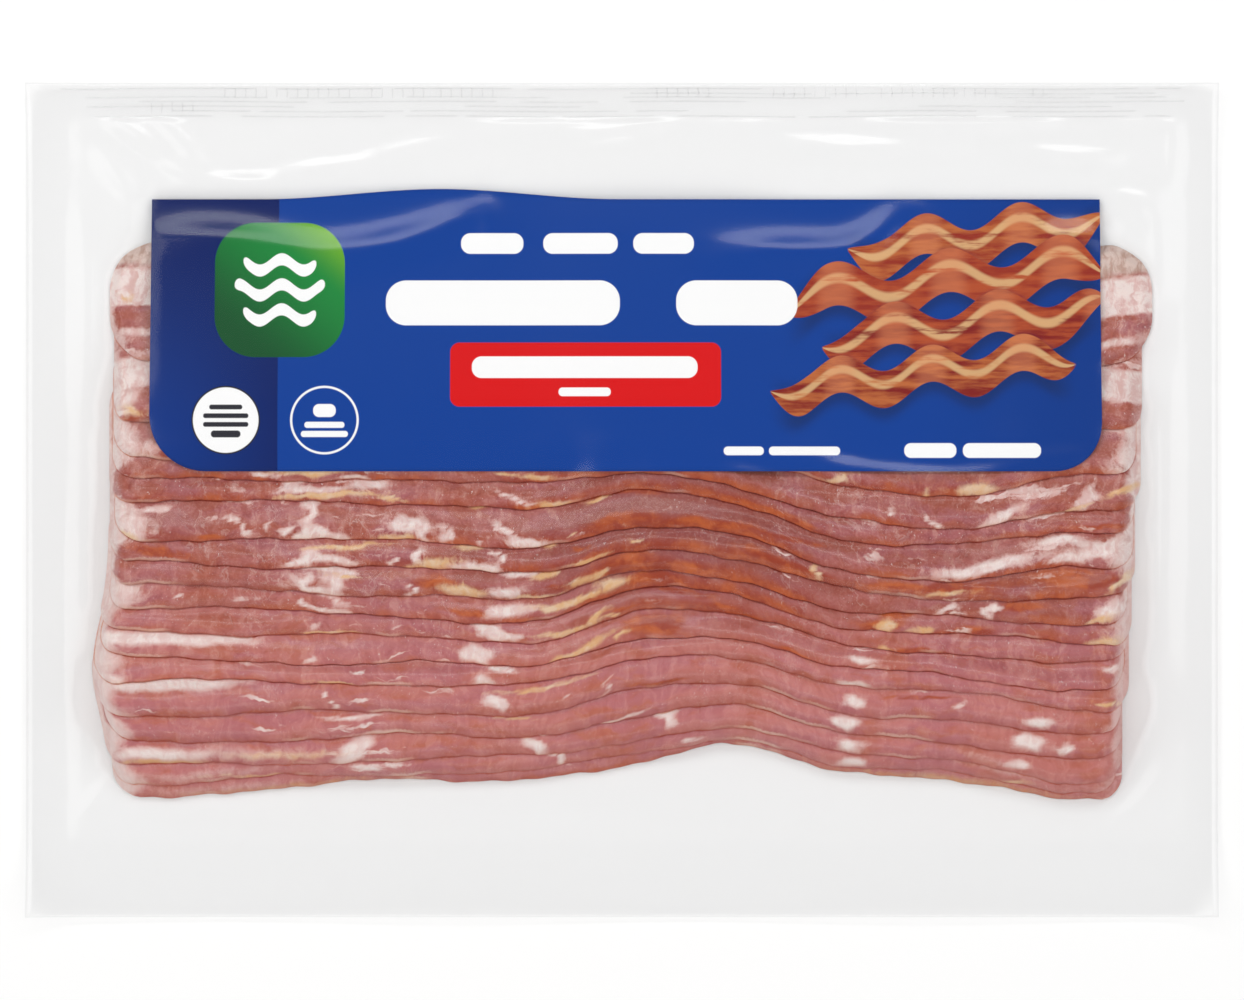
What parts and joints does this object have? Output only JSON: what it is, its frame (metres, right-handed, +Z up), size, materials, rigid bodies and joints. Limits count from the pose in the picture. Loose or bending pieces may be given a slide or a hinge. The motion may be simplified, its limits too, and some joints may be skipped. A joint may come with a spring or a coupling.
{
  "type": "bacon pack",
  "caption": "Flat clear vacuum bag of shingled raw bacon slices with a wide flat seal margin and a plain blue label over its far side.",
  "frame": {"origin": "centre of the bag's outline, on the surface it lies on", "axes": "+X along the slices and the bag's long side, +Y towards the label, +Z up out of the shown side"},
  "size_m": [0.276, 0.193, 0.0165],
  "materials": {
    "bacon": "moist raw cured pork, pink lean with cream fat",
    "clear_film": "clear glossy packaging film",
    "label": "printed blue film label under clear film"
  },
  "bodies": {
    "root": {"sealed_pack": "bacon", "printed_label": "label"}
  },
  "joints": []
}
